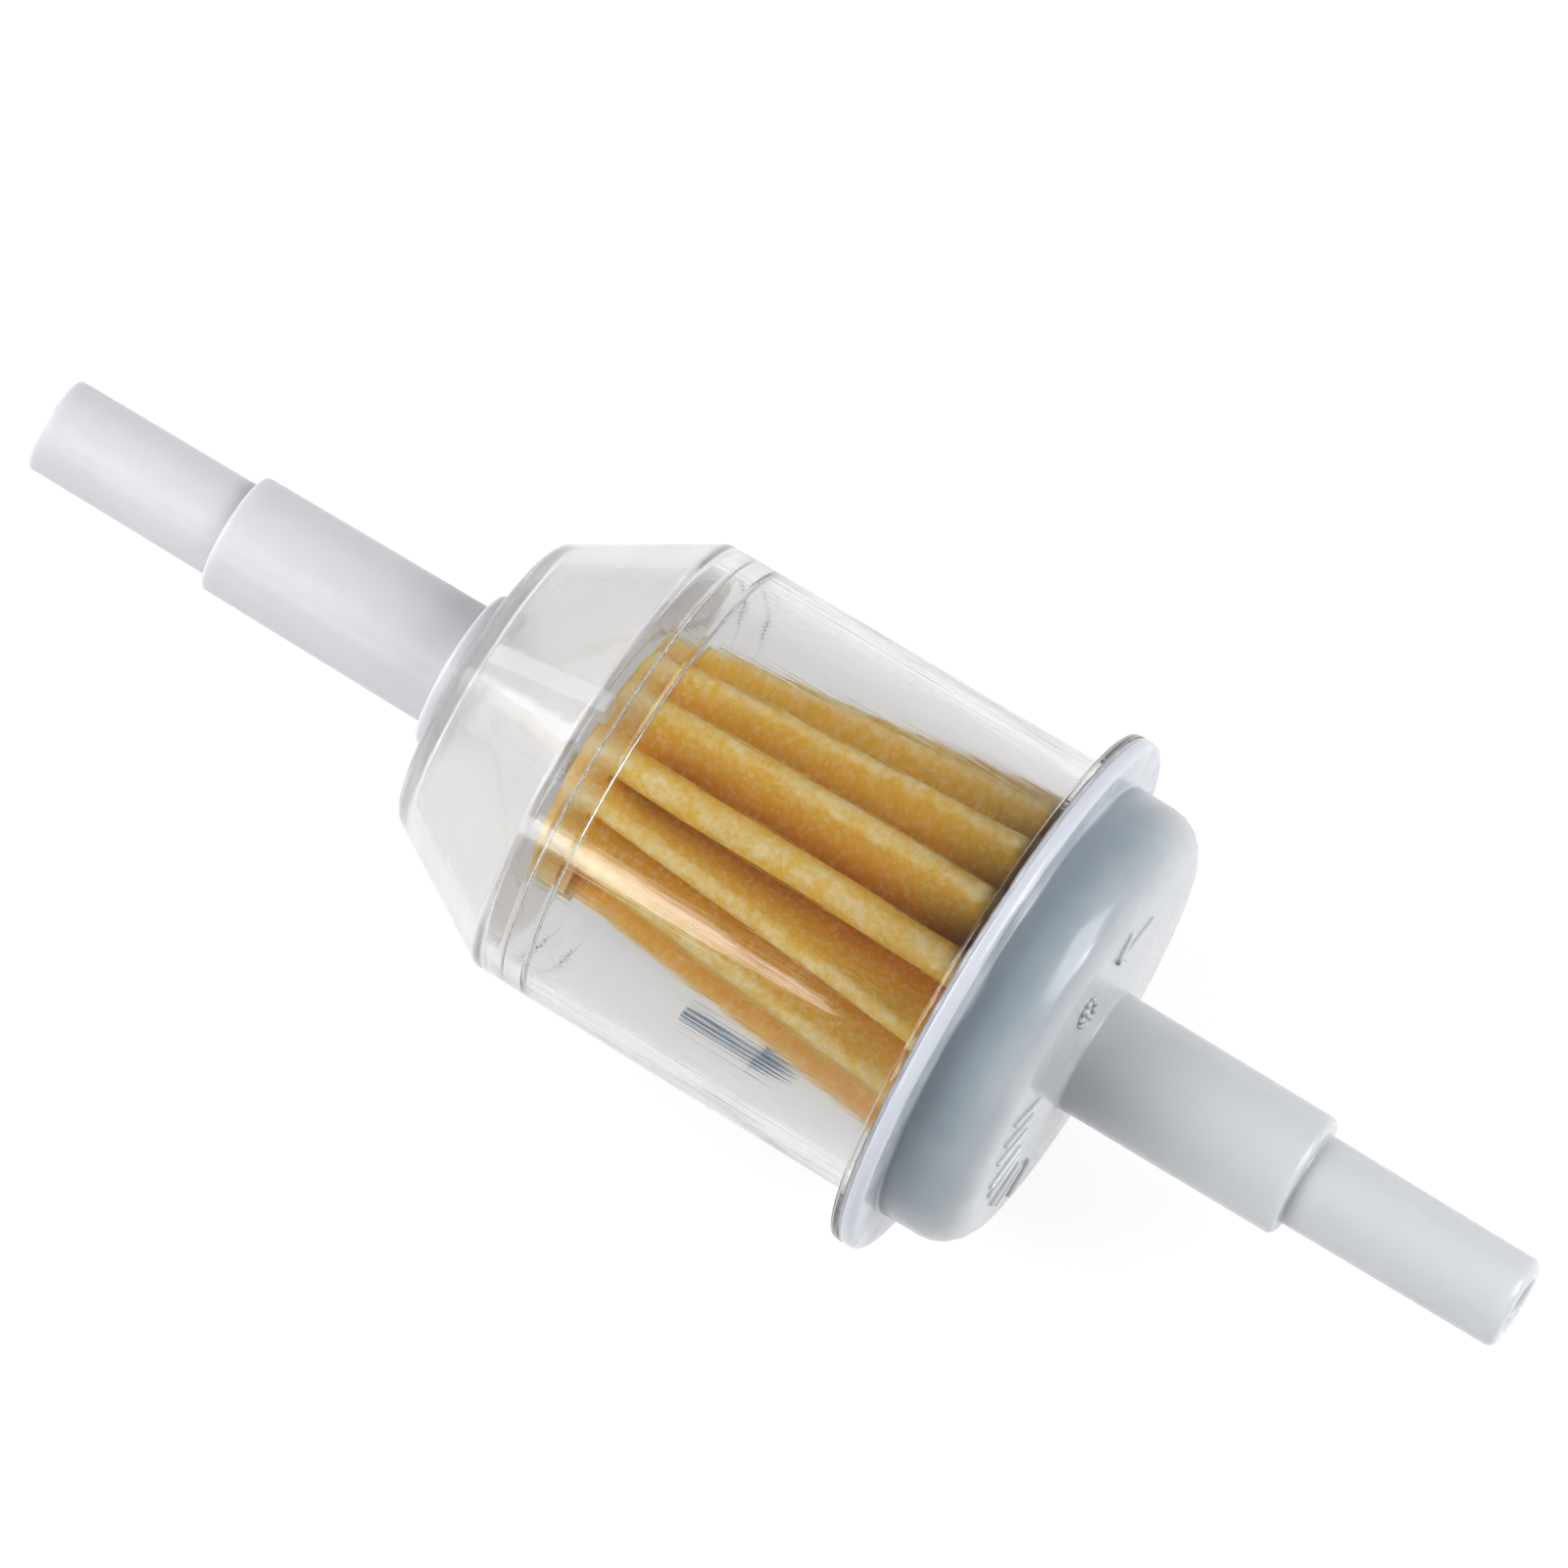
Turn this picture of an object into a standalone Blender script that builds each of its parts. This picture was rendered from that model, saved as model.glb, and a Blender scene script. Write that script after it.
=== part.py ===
"""In-line fuel filter: a clear bowl and a milky cap, welded round a pleated paper element.

The filter lies along X, with its inlet at -X and its outlet at +X, and the origin is on its axis
halfway between the two spigot tips. Lengths are in millimetres until a point is placed. A station
is a distance along the axis from the inlet tip, and a radius is a distance from the axis.
"""

import math

import bmesh
import bpy
from mathutils import Vector

MM = 0.001

# Driving dimensions: the overall size, and the two hose sizes that each stepped spigot takes.
LENGTH = 100.7
SMALL_HOSE = 6.0
LARGE_HOSE = 8.0
BODY_R = 14.5
FLANGE_R = 17.1
WALL = 1.35

# Bonded and welded faces are this far apart.
JOINT_GAP = 0.2

# Stations along the axis, from the inlet tip to the outlet tip.
INLET_STEP = 12.55
COLLAR_START = 28.15
DOME_START = 29.0
DOME_EDGE = 29.85
SHOULDER = 38.3
FLANGE_BACK = 64.45
FLANGE_FRONT = 66.05
CAP_EDGE = 71.1
CAP_FACE = 71.75
OUTLET_STEP = LENGTH - 14.4

# Spigots. Their outsides taper by the draft that lets them leave the mould.
SMALL_R = SMALL_HOSE / 2
LARGE_R = LARGE_HOSE / 2 - 0.08
DRAFT = 0.12
INLET_BORE_R = 2.0
INLET_BORE_WIDE_R = 2.5
OUTLET_BORE_R = 1.6
OUTLET_BORE_WIDE_R = 2.3
BORE_STEP_LENGTH = 1.0
TIP_ROUND = 0.8

# Bowl. Its dome's bore has three stations of its own.
COLLAR_R = 5.0
DOME_FOOT_R = 5.4
DOME_EDGE_R = 9.4
DOME_ROUND = 1.1
DOME_BORE_START = 30.35
DOME_BORE_EDGE = 31.0
DOME_BORE_END = 38.7
LIP_T = 0.5
BOWL_BORE_R = BODY_R - WALL
LAND_START = 40.0
LAND_END = 41.6
LAND_STEP = 0.12
RIB_COUNT = 4
RIB_TURN = math.radians(2.3)
RIB_T = 1.25
RIB_START = 30.05
RIB_FOOT_R = 3.0
RIB_FOOT_END = 33.1
RIB_HEAD_R = 10.2
RIB_END = 39.2
RIB_BITE = WALL / 2

# Cap.
CAP_R = 14.45
CAP_ROUND = 2.8
CAP_BORE_R = 13.2
PLENUM_R = 11.5
PLENUM_END = 70.1
DISC_SEAT = 69.1

# Pleated paper. Each pair of radii is at the inlet end and at the outlet end.
PLEATS = 16
PAPER_T = 0.5
FOLD_HALF_WIDTH = 0.36
PAPER_START = 40.8
RIDGE_R = (8.5, 12.0)
VALLEY_R = (4.2, 6.2)
FLAP_DEPTH = 1.3

# Bonds of the element. The seam faces -Y.
SEAM_ANGLE = math.radians(90)
SEAM_GLUE_T = 0.2
SEAL_T = 2.4
SEAL_R = 8.5
SEAL_ROUND = 1.0
ADHESIVE_T = 1.2

# End disc, with a rim at its outside and a collar round its hole.
DISC_R = 13.0
DISC_HOLE_R = 4.5
DISC_T = 1.1
DISC_RIM_T = 0.35
DISC_BACK = DISC_SEAT - JOINT_GAP
DISC_FLOOR = DISC_BACK - DISC_T
ADHESIVE_BACK = DISC_FLOOR - JOINT_GAP
ADHESIVE_START = ADHESIVE_BACK - ADHESIVE_T
PAPER_END = ADHESIVE_START - JOINT_GAP

# Fillets: broken edges, and the mouldings' soft, full and wide corners.
BROKEN = 0.15
SOFT = 0.3
FULL = 0.5
WIDE = 0.8

SEGMENTS = 48
ARC_STEPS = 2
SHARP_ANGLE = math.radians(35)


def place(station, across, up):
    """The point, in metres, at a station and at a place across the filter."""
    return Vector((station - LENGTH / 2, across, up)) * MM


def rounded(corners):
    """The outline through 2-D corners (a, b, fillet radius), each corner rounded by its fillet."""
    outline = []
    for i, (a, b, fillet) in enumerate(corners):
        here = Vector((a, b))
        if fillet == 0:
            outline.append(here)
            continue
        back = Vector(corners[i - 1][:2]) - here
        ahead = Vector(corners[(i + 1) % len(corners)][:2]) - here
        half_angle = back.angle(ahead) / 2
        longest_reach = 0.49 * min(back.length, ahead.length)
        reach = min(fillet / math.tan(half_angle), longest_reach)
        inward = (back.normalized() + ahead.normalized()).normalized()
        centre = here + inward * (reach / math.cos(half_angle))
        radius = reach * math.tan(half_angle)
        first = (here + back.normalized() * reach - centre).normalized()
        last = (here + ahead.normalized() * reach - centre).normalized()
        for k in range(ARC_STEPS + 1):
            outline.append(centre + radius * first.slerp(last, k / ARC_STEPS))
    return outline


def add_object(name, bm, material):
    mesh = bpy.data.meshes.new(name)
    bm.to_mesh(mesh)
    bm.free()
    mesh.materials.append(material)
    mesh.shade_smooth()
    mesh.set_sharp_from_angle(angle=SHARP_ANGLE)
    obj = bpy.data.objects.new(name, mesh)
    bpy.context.scene.collection.objects.link(obj)
    return obj


def turned(name, corners, material):
    """The closed outline through (station, radius, fillet) corners, turned about the axis."""
    bm = bmesh.new()
    points = [bm.verts.new(place(p.x, 0, p.y)) for p in rounded(corners)]
    edges = [bm.edges.new((points[i - 1], points[i])) for i in range(len(points))]
    bmesh.ops.spin(
        bm,
        geom=points + edges,
        axis=(1, 0, 0),
        cent=(0, 0, 0),
        angle=math.tau,
        steps=SEGMENTS,
        use_merge=True,
    )
    bmesh.ops.recalc_face_normals(bm, faces=bm.faces)
    return add_object(name, bm, material)


def lofted(name, start, end, material):
    """Two matching closed loops of points, joined by side faces and closed at both ends."""
    bm = bmesh.new()
    low = [bm.verts.new(p) for p in start]
    high = [bm.verts.new(p) for p in end]
    for i in range(len(low)):
        bm.faces.new((low[i - 1], low[i], high[i], high[i - 1]))
    bm.faces.new(low)
    bm.faces.new(high)
    bmesh.ops.recalc_face_normals(bm, faces=bm.faces)
    return add_object(name, bm, material)


def make_rib(index, material):
    """A gusset that stiffens the dome. Its outer edges are sunk half way into the bowl's wall."""
    sunk_r = BOWL_BORE_R + RIB_BITE
    corners = [
        (RIB_START, RIB_FOOT_R, 0),
        (RIB_FOOT_END, RIB_FOOT_R, FULL),
        (RIB_END, RIB_HEAD_R, FULL),
        (RIB_END, sunk_r, 0),
        (SHOULDER, sunk_r, 0),
        (RIB_START, DOME_EDGE_R - WALL, 0),
    ]
    outline = rounded(corners)
    sides = [[place(p.x, side * RIB_T / 2, p.y) for p in outline] for side in (-1, 1)]
    rib = lofted(f"rib_{index}", sides[0], sides[1], material)
    rib.rotation_euler.x = RIB_TURN + index * math.tau / RIB_COUNT
    rib.hide_render = True
    rib.display_type = "WIRE"
    return rib


def make_bowl(material):
    """The clear moulding: inlet spigot, collar, dome with ribs, wall, and the rim that is welded."""
    lip_front = FLANGE_BACK + LIP_T
    land_r = BOWL_BORE_R - LAND_STEP
    dome_bore_r = land_r - LAND_STEP
    corners = [
        (0, SMALL_R, BROKEN),
        (INLET_STEP, SMALL_R + DRAFT / 2, BROKEN),
        (INLET_STEP, LARGE_R - DRAFT, SOFT),
        (COLLAR_START, LARGE_R, BROKEN),
        (COLLAR_START + DRAFT, COLLAR_R, SOFT),
        (DOME_START, COLLAR_R, BROKEN),
        (DOME_START, DOME_FOOT_R, 0),
        (DOME_EDGE, DOME_EDGE_R, DOME_ROUND),
        (SHOULDER, BODY_R - DRAFT, FULL),
        (FLANGE_BACK, BODY_R, BROKEN),
        (FLANGE_BACK, FLANGE_R, SOFT),
        (lip_front, FLANGE_R, 0),
        (lip_front, BOWL_BORE_R, 0),
        (LAND_END, BOWL_BORE_R, 0),
        (LAND_END, land_r, 0),
        (LAND_START, land_r, 0),
        (LAND_START, dome_bore_r, 0),
        (DOME_BORE_END, dome_bore_r, WIDE),
        (DOME_BORE_EDGE, DOME_EDGE_R - WALL / 2, WIDE),
        (DOME_BORE_START, INLET_BORE_WIDE_R, SOFT),
        (INLET_STEP + BORE_STEP_LENGTH, INLET_BORE_WIDE_R, 0),
        (INLET_STEP - BORE_STEP_LENGTH, INLET_BORE_R, 0),
        (0, INLET_BORE_R, 0),
    ]
    bowl = turned("inlet_bowl", corners, material)
    for index in range(RIB_COUNT):
        rib = make_rib(index, material)
        union = bowl.modifiers.new(rib.name, "BOOLEAN")
        union.operation = "UNION"
        union.object = rib


def make_cap(material):
    """The milky moulding: flange, wall and end face, and the outlet spigot. The disc sits inside."""
    flange_start = FLANGE_BACK + LIP_T + JOINT_GAP
    spigot_r = LARGE_R - DRAFT / 2
    corners = [
        (flange_start, FLANGE_R, BROKEN),
        (FLANGE_FRONT, FLANGE_R, FULL),
        (FLANGE_FRONT, CAP_R, BROKEN),
        (CAP_EDGE, CAP_R, CAP_ROUND),
        (CAP_FACE, LARGE_R, SOFT),
        (OUTLET_STEP, spigot_r, FULL),
        (OUTLET_STEP, SMALL_R - DRAFT / 2, BROKEN),
        (LENGTH, SMALL_R - DRAFT, TIP_ROUND),
        (LENGTH, OUTLET_BORE_R, 0),
        (OUTLET_STEP + BORE_STEP_LENGTH, OUTLET_BORE_R, 0),
        (OUTLET_STEP - BORE_STEP_LENGTH, OUTLET_BORE_WIDE_R, 0),
        (PLENUM_END, OUTLET_BORE_WIDE_R, FULL),
        (PLENUM_END, PLENUM_R, WIDE),
        (DISC_SEAT, PLENUM_R, 0),
        (DISC_SEAT, CAP_BORE_R, BROKEN),
        (flange_start, CAP_BORE_R, 0),
    ]
    turned("outlet_cap", corners, material)


def fold(radius, angle):
    """The two rounded corners of a fold, one either side of the line at that angle."""
    outward = Vector((math.sin(angle), math.cos(angle)))
    onward = Vector((math.cos(angle), -math.sin(angle)))
    sides = [outward * radius + onward * side * FOLD_HALF_WIDTH for side in (-1, 1)]
    return [(p.x, p.y, FOLD_HALF_WIDTH) for p in sides]


def paper_line(ridge_r, valley_r):
    """The middle of the paper across the filter, from one glued flap round to the other."""
    pitch = math.tau / PLEATS
    flap_offset = (SEAM_GLUE_T + PAPER_T) / 2 + JOINT_GAP
    corners = [(flap_offset, ridge_r, 0), (flap_offset, ridge_r - FLAP_DEPTH, 0)]
    for k in range(PLEATS):
        corners += fold(valley_r, (k + 0.5) * pitch)
        if k < PLEATS - 1:
            corners += fold(ridge_r, (k + 1) * pitch)
    corners += [(-flap_offset, ridge_r - FLAP_DEPTH, 0), (-flap_offset, ridge_r, 0)]
    return rounded(corners)


def make_paper(material):
    """One strip of paper, folded in a zigzag round the axis. It widens towards the outlet."""
    bm = bmesh.new()
    rows = []
    for station, ridge_r, valley_r in zip((PAPER_START, PAPER_END), RIDGE_R, VALLEY_R):
        rows.append([bm.verts.new(place(station, p.x, p.y)) for p in paper_line(ridge_r, valley_r)])
    for i in range(len(rows[0]) - 1):
        bm.faces.new((rows[0][i], rows[0][i + 1], rows[1][i + 1], rows[1][i]))
    paper = add_object("filter_paper", bm, material)
    thicken = paper.modifiers.new("thickness", "SOLIDIFY")
    thicken.thickness = PAPER_T * MM
    thicken.offset = 0
    thicken.use_even_offset = True
    return paper


def make_seam_glue(material):
    """The strip of glue between the paper's two flaps."""
    loops = []
    for station, ridge_r in zip((PAPER_START, PAPER_END), RIDGE_R):
        half = SEAM_GLUE_T / 2
        foot_r = ridge_r - FLAP_DEPTH
        section = ((-half, foot_r), (half, foot_r), (half, ridge_r), (-half, ridge_r))
        loops.append([place(station, across, up) for across, up in section])
    return lofted("seam_glue", loops[0], loops[1], material)


def make_inlet_end_seal(material):
    """The round plug of adhesive that the pleats' inlet ends are set in. It closes them."""
    end = PAPER_START - JOINT_GAP
    circle = [math.tau * k / SEGMENTS for k in range(SEGMENTS)]
    loops = [
        [place(station, SEAL_R * math.sin(a), SEAL_R * math.cos(a)) for a in circle]
        for station in (end - SEAL_T, end)
    ]
    seal = lofted("inlet_end_seal", loops[0], loops[1], material)
    bevel = seal.modifiers.new("rounded_rim", "BEVEL")
    bevel.width = SEAL_ROUND * MM
    bevel.segments = ARC_STEPS
    return seal


def make_end_disc(material):
    """A dished disc. Its trough, between the rim and the hole's collar, opens towards the paper."""
    collar_r = DISC_HOLE_R + DISC_RIM_T
    rim_bore_r = DISC_R - DISC_RIM_T
    corners = [
        (ADHESIVE_START, DISC_R, BROKEN),
        (DISC_BACK, DISC_R, SOFT),
        (DISC_BACK, DISC_HOLE_R, SOFT),
        (ADHESIVE_START, DISC_HOLE_R, BROKEN),
        (ADHESIVE_START, collar_r, BROKEN),
        (DISC_FLOOR, collar_r, 0),
        (DISC_FLOOR, rim_bore_r, 0),
        (ADHESIVE_START, rim_bore_r, BROKEN),
    ]
    return turned("end_disc", corners, material)


def make_end_adhesive(material):
    """The ring of adhesive that lies in the disc's trough, under the ends of the pleats."""
    inner_r = DISC_HOLE_R + DISC_RIM_T + JOINT_GAP
    outer_r = DISC_R - DISC_RIM_T - JOINT_GAP
    corners = [
        (ADHESIVE_START, inner_r, SOFT),
        (ADHESIVE_START, outer_r, SOFT),
        (ADHESIVE_BACK, outer_r, 0),
        (ADHESIVE_BACK, inner_r, 0),
    ]
    return turned("end_adhesive", corners, material)


def make_element(paper, adhesive, disc):
    """The filter element's pieces, on one empty that turns them together to set the seam."""
    element = bpy.data.objects.new("element", None)
    bpy.context.scene.collection.objects.link(element)
    element.rotation_euler.x = SEAM_ANGLE
    pieces = (
        make_paper(paper),
        make_seam_glue(adhesive),
        make_inlet_end_seal(adhesive),
        make_end_disc(disc),
        make_end_adhesive(adhesive),
    )
    for piece in pieces:
        piece.parent = element


def plastic(name, colour, roughness, transmission=0.0):
    material = bpy.data.materials.new(name)
    material.use_nodes = True
    shader = material.node_tree.nodes["Principled BSDF"]
    shader.inputs["Base Color"].default_value = (*colour, 1)
    shader.inputs["Roughness"].default_value = roughness
    shader.inputs["Metallic"].default_value = 0
    shader.inputs["Transmission Weight"].default_value = transmission
    return material


def main():
    for obj in list(bpy.data.objects):
        bpy.data.objects.remove(obj)
    make_bowl(plastic("clear_plastic", (0.93, 0.93, 0.94), 0.08, transmission=0.9))
    make_cap(plastic("milky_plastic", (0.72, 0.75, 0.79), 0.3))
    make_element(
        paper=plastic("paper", (0.72, 0.42, 0.08), 0.95),
        adhesive=plastic("adhesive", (0.60, 0.34, 0.08), 0.35),
        disc=plastic("disc_plastic", (0.28, 0.36, 0.43), 0.4),
    )


main()
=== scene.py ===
"""The looks of an in-line fuel filter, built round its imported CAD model.

The filter lies along X with its outlet at +X. Lengths are in millimetres until a point is placed.
A station is a distance along the axis from the inlet tip, an angle is turned about the axis from +Z
towards -Y, and a turned outline lists (station, radius, fillet) corners.
"""

import math
import random

import bmesh
import bpy
from mathutils import Matrix, Vector, noise


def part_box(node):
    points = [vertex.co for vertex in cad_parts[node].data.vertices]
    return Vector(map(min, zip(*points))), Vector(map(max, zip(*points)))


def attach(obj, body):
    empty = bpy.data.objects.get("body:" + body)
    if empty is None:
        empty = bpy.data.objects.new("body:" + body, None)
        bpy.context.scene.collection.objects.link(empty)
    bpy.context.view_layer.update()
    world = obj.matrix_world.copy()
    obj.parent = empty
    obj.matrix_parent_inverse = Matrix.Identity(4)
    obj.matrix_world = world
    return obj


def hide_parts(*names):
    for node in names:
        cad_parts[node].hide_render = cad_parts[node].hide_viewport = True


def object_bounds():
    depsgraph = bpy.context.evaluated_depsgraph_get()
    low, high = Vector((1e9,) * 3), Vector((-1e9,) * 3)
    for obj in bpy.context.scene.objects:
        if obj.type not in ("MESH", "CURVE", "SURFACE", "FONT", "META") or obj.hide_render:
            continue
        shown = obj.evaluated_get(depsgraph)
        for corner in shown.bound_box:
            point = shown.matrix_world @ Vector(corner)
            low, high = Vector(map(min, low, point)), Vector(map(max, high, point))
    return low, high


MM = 0.001

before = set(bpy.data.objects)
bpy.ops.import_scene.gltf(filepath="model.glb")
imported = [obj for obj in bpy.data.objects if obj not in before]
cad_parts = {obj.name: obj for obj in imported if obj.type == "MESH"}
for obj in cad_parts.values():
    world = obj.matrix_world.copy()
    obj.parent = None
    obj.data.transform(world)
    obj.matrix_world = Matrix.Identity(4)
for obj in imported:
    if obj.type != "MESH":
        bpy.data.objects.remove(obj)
cad_low, cad_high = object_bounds()
bowl_low, bowl_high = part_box("inlet_bowl")
cap_low, cap_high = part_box("outlet_cap")
paper_low, paper_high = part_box("filter_paper")
seal_low, seal_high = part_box("inlet_end_seal")
random.seed(7)
noise.seed_set(7)

# Sizes read from the frame.
LENGTH = (cap_high.x - bowl_low.x) / MM
FLANGE_R = bowl_high.z / MM
LIP_FRONT = (bowl_high.x - bowl_low.x) / MM
FLANGE_START = (cap_low.x - bowl_low.x) / MM
PAPER_START = (paper_low.x - bowl_low.x) / MM
PAPER_END = (paper_high.x - bowl_low.x) / MM
SEAL_START = (seal_low.x - bowl_low.x) / MM
SEAL_R = seal_high.z / MM

# Mouldings, as in the CAD model.
BODY_R = 14.5
WALL = 1.35
SMALL_R = 3.0
LARGE_R = 3.92
DRAFT = 0.12
INLET_STEP = 12.55
COLLAR_START = 28.15
COLLAR_R = 5.0
DOME_START = 29.0
DOME_FOOT_R = 5.4
DOME_EDGE = 29.85
DOME_EDGE_R = 9.4
SHOULDER = 38.3
LAND_START = 40.0
LAND_END = 41.6
LAND_STEP = 0.12
FLANGE_BACK = LIP_FRONT - 0.5
FLANGE_FRONT = LIP_FRONT + 1.1
CAP_EDGE = 71.1
CAP_FACE = 71.75
OUTLET_STEP = LENGTH - 14.4
CAP_BORE_R = 13.2
PLENUM_R = 11.5
DISC_SEAT = 69.1
INLET_BORE_R = 2.0
INLET_BORE_WIDE_R = 2.5
OUTLET_BORE_R = 1.6
OUTLET_BORE_WIDE_R = 2.3
BORE_STEP_LENGTH = 1.0
RIB_COUNT = 4
RIB_TURN = math.radians(2.3)
RIB_T = 1.25
RIB_FOOT_R = 3.0
RIB_FOOT_END = 33.1
RIB_HEAD_R = 10.2
RIB_END = 39.2

# Pleated paper. Each pair is at the inlet end and at the outlet end.
PLEATS = 16
PAPER_T = 0.42
RIDGE_R = (8.6, 12.0)
VALLEY_R = (4.9, 7.6)
VALLEY_HALF_WIDTH = 0.3
END_DEPTH = 1.1
END_FADE = 4.5
SEAM_ANGLE = 90
SEAM_SHARE = 0.91
SEAM_GLUE_T = 0.25
FLAP_OFFSET = (SEAM_GLUE_T + PAPER_T) / 2 + 0.02
FLAP_DEPTH = 1.3
# The ridges on the side with the front rib: their angles in degrees and their half-widths at the
# two ends, and where the valley after each lies, as a share of the way to the next ridge.
SEEN_RIDGES = (
    ((-83.0, -72.0), (0.36, 0.36), 0.70),
    ((-59.5, -48.5), (0.36, 0.36), 0.72),
    ((-36.0, -28.0), (0.40, 0.38), 0.72),
    ((-14.0, -7.5), (0.60, 0.50), 0.66),
    ((13.0, 14.5), (0.95, 1.00), 0.30),
    ((32.5, 37.8), (0.42, 0.36), 0.22),
    ((55.8, 55.8), (0.32, 0.32), 0.50),
)

# The paper gets a painted brown shade from this station to the flange, on the side below this angle
# in degrees.
SHADE_START = 58.0
SHADE_SIDE = 20.0

# The printed arrow: its angle in degrees, and how far its ink is sunk into the wall.
ARROW_ANGLE = 141
ARROW_START, ARROW_END = 48.9, 56.9
ARROW_HALF_SHAFT = 0.65
ARROW_HALF_HEAD = 1.6
ARROW_HEAD_LENGTH = 2.8
PRINT_DEPTH = 0.03

# The raised marks: their half-width and height, and the date ring's centre, size and sides.
MARK_HALF_WIDTH = 0.17
MARK_HEIGHT = 0.24
RING_UP, RING_ACROSS = 8.6, 0.45
RING_HALF_HEIGHT, RING_HALF_WIDTH = 1.25, 0.85
RING_SIDES = 10

SEGMENTS = 144
ARC_STEPS = 5

# Tints of the milky plastic: the spigot and the ribs, and the cap from station to station. Along
# the cap they paint the shade of its hollow and end disc seen through the wall, darkest where the
# end disc is close behind it.
SPIGOT_TINT = (0.395, 0.40, 0.42, 1)
RIB_TINT = (0.86, 0.86, 0.87, 1)
FLANGE_TINT = (0.375, 0.395, 0.435, 1)
CAP_TINTS_AND_SHADE = (
    (0, FLANGE_TINT),
    (FLANGE_FRONT - 0.1, FLANGE_TINT),
    (FLANGE_FRONT + 0.25, (0.19, 0.227, 0.26, 1)),
    (DISC_SEAT - 0.7, (0.20, 0.237, 0.267, 1)),
    (CAP_EDGE - 0.7, (0.26, 0.285, 0.305, 1)),
    (CAP_FACE - 0.15, (0.34, 0.355, 0.37, 1)),
    (CAP_FACE + 2.75, (0.385, 0.40, 0.415, 1)),
)
# The dark brown of the painted shade on the paper by the flange.
PAINTED_SHADE_TINT = (0.10, 0.045, 0.015, 1)
CLOUD_TINT = (0.5, 0.5, 0.52, 1)

# The camera: its direction in degrees, the point it looks at, its distance and its focal length.
CAMERA_AZIMUTH, CAMERA_ELEVATION = 32.18, 73.2
CAMERA_AIM = Vector((-2.15, 3.85, 0.98)) * MM
CAMERA_DISTANCE = 0.83685
CAMERA_LENS = 329.6

# The studio: the world's strength near the horizon, overhead and along X, and the floor.
WORLD_LOW = 0.65
WORLD_HIGH = 0.24
WORLD_SIDES = 0.75
FLOOR_GLOW = 0.78
FLOOR_GAP = 0.3


def place(station, across, up):
    """The point, in metres, at a station and at a place across the filter."""
    return Vector((bowl_low.x + station * MM, across * MM, up * MM))


def on_cylinder(station, radius, angle):
    return place(station, -radius * math.sin(angle), radius * math.cos(angle))


def arc(before, corner, after, steps=ARC_STEPS):
    """The points that round a corner (a, b, fillet radius) between its two neighbours."""
    here = Vector(corner[:2])
    fillet = corner[2]
    if fillet == 0:
        return [here]
    back = Vector(before[:2]) - here
    ahead = Vector(after[:2]) - here
    half_angle = back.angle(ahead) / 2
    longest_reach = 0.49 * min(back.length, ahead.length)
    reach = min(fillet / math.tan(half_angle), longest_reach)
    inward = (back.normalized() + ahead.normalized()).normalized()
    centre = here + inward * (reach / math.cos(half_angle))
    radius = reach * math.tan(half_angle)
    first = (here + back.normalized() * reach - centre).normalized()
    last = (here + ahead.normalized() * reach - centre).normalized()
    return [centre + radius * first.slerp(last, k / steps) for k in range(steps + 1)]


def rounded(corners):
    """The closed outline through the corners, each rounded by its fillet."""
    outline = []
    for i, corner in enumerate(corners):
        outline += arc(corners[i - 1], corner, corners[(i + 1) % len(corners)])
    return outline


def new_object(name, bm, sharp_degrees=35):
    mesh = bpy.data.meshes.new(name)
    bm.to_mesh(mesh)
    bm.free()
    mesh.shade_smooth()
    mesh.set_sharp_from_angle(angle=math.radians(sharp_degrees))
    obj = bpy.data.objects.new(name, mesh)
    bpy.context.scene.collection.objects.link(obj)
    return obj


def turned_mesh(outline):
    """A bmesh of the closed outline of (station, radius) points, turned about the axis."""
    bm = bmesh.new()
    rings = []
    for k in range(SEGMENTS):
        angle = math.tau * k / SEGMENTS
        rings.append([bm.verts.new(on_cylinder(p.x, p.y, angle)) for p in outline])
    for k, ring in enumerate(rings):
        before = rings[k - 1]
        for i in range(len(ring)):
            bm.faces.new((ring[i - 1], ring[i], before[i], before[i - 1]))
    bmesh.ops.recalc_face_normals(bm, faces=bm.faces)
    return bm


def weigh_normals(obj):
    """Keeps flats flat next to their small fillets."""
    modifier = obj.modifiers.new("weighted_normals", "WEIGHTED_NORMAL")
    modifier.keep_sharp = True


def loft(name, rings, capped=True):
    """Closed loops of points joined one to the next, with a face over each end if capped."""
    bm = bmesh.new()
    rows = [[bm.verts.new(p) for p in ring] for ring in rings]
    count = len(rows[0])
    for low, high in zip(rows, rows[1:]):
        for i in range(count):
            bm.faces.new((low[i - 1], low[i], high[i], high[i - 1]))
    if capped:
        bm.faces.new(rows[0])
        bm.faces.new(rows[-1])
    bmesh.ops.recalc_face_normals(bm, faces=bm.faces)
    return new_object(name, bm)


def settle(obj, sharp_degrees=35):
    """Applies the object's modifiers to its mesh."""
    graph = bpy.context.evaluated_depsgraph_get()
    graph.update()
    mesh = bpy.data.meshes.new_from_object(obj.evaluated_get(graph))
    obj.modifiers.clear()
    obj.data = mesh
    mesh.shade_smooth()
    mesh.set_sharp_from_angle(angle=math.radians(sharp_degrees))


def piece(obj, material, slot, *nodes):
    """Gives a new piece its material and its place on the body, and hides the CAD nodes it stands
    for. The slot is not used.
    """
    if not obj.data.materials:
        obj.data.materials.append(material)
    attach(obj, "root")
    if nodes:
        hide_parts(*nodes)


# Materials


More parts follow.
